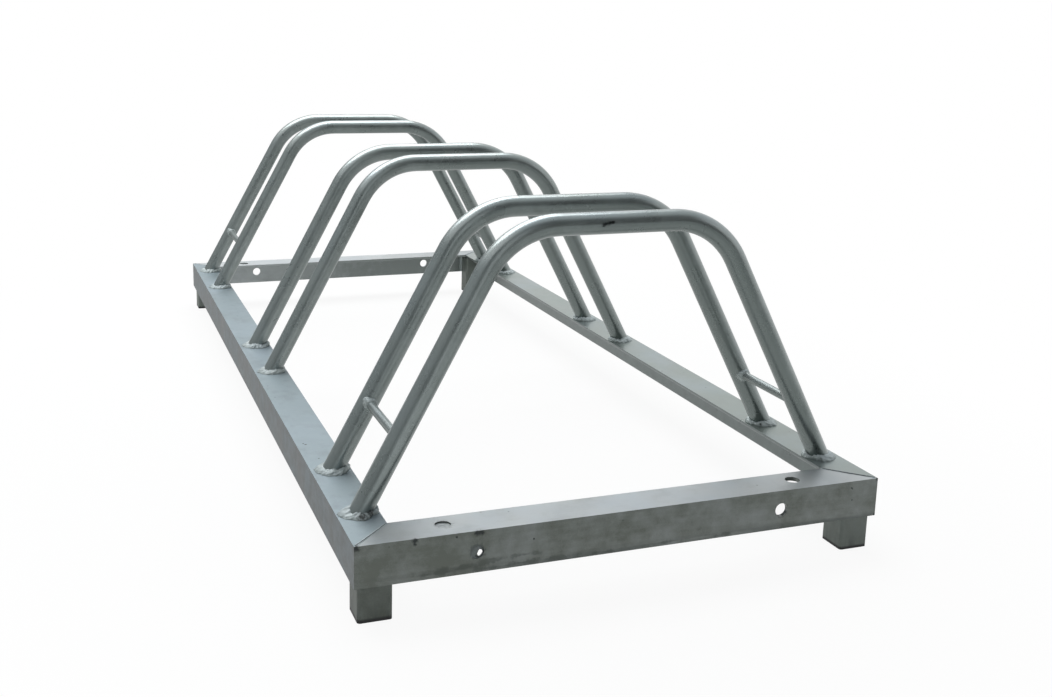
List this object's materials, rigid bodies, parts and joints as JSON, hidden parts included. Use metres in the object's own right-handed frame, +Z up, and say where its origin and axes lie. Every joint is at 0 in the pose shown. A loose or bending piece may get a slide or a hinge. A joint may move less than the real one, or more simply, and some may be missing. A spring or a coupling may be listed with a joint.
{
  "type": "floor bike rack",
  "caption": "Low floor bike rack: a galvanised angle-steel base on short square feet with bent tube hoops welded across it in pairs, each pair holding a bicycle wheel upright.",
  "frame": {"origin": "middle of the footprint on the floor, under the rack", "axes": "+Y along the length of the rack from the front end rail to the back end rail, +X to the right across the rack, +Z up from the floor"},
  "size_m": [0.542, 1.23, 0.3468],
  "materials": {
    "galvanised_angle": "hot-dip galvanised, matt, on rolled steel angle",
    "galvanised_foot": "hot-dip galvanised, dull, on square steel tube",
    "galvanised_tube": "hot-dip galvanised, satin, on round steel tube",
    "galvanised_bar": "hot-dip galvanised, satin, on round steel bar",
    "weld_bead": "hot-dip galvanised over a rough weld bead"
  },
  "bodies": {
    "root": {"front_end_rail": "galvanised_angle", "back_end_rail": "galvanised_angle", "left_side_rail": "galvanised_angle", "right_side_rail": "galvanised_angle", "front_left_foot": "galvanised_foot", "front_right_foot": "galvanised_foot", "back_left_foot": "galvanised_foot", "back_right_foot": "galvanised_foot", "front_outer_hoop": "galvanised_tube", "front_inner_hoop": "galvanised_tube", "middle_front_hoop": "galvanised_tube", "middle_back_hoop": "galvanised_tube", "back_inner_hoop": "galvanised_tube", "back_outer_hoop": "galvanised_tube", "front_left_stay": "galvanised_bar", "front_right_stay": "galvanised_bar", "back_left_stay": "galvanised_bar", "back_right_stay": "galvanised_bar", "front_outer_hoop_welds": "weld_bead", "front_inner_hoop_welds": "weld_bead", "middle_front_hoop_welds": "weld_bead", "middle_back_hoop_welds": "weld_bead", "back_inner_hoop_welds": "weld_bead", "back_outer_hoop_welds": "weld_bead", "front_left_stay_welds": "weld_bead", "front_right_stay_welds": "weld_bead", "back_left_stay_welds": "weld_bead", "back_right_stay_welds": "weld_bead", "front_left_mitre_seam": "weld_bead", "front_right_mitre_seam": "weld_bead", "back_left_mitre_seam": "weld_bead", "back_right_mitre_seam": "weld_bead", "front_left_foot_welds": "weld_bead", "front_right_foot_welds": "weld_bead", "back_left_foot_welds": "weld_bead", "back_right_foot_welds": "weld_bead"}
  },
  "joints": []
}
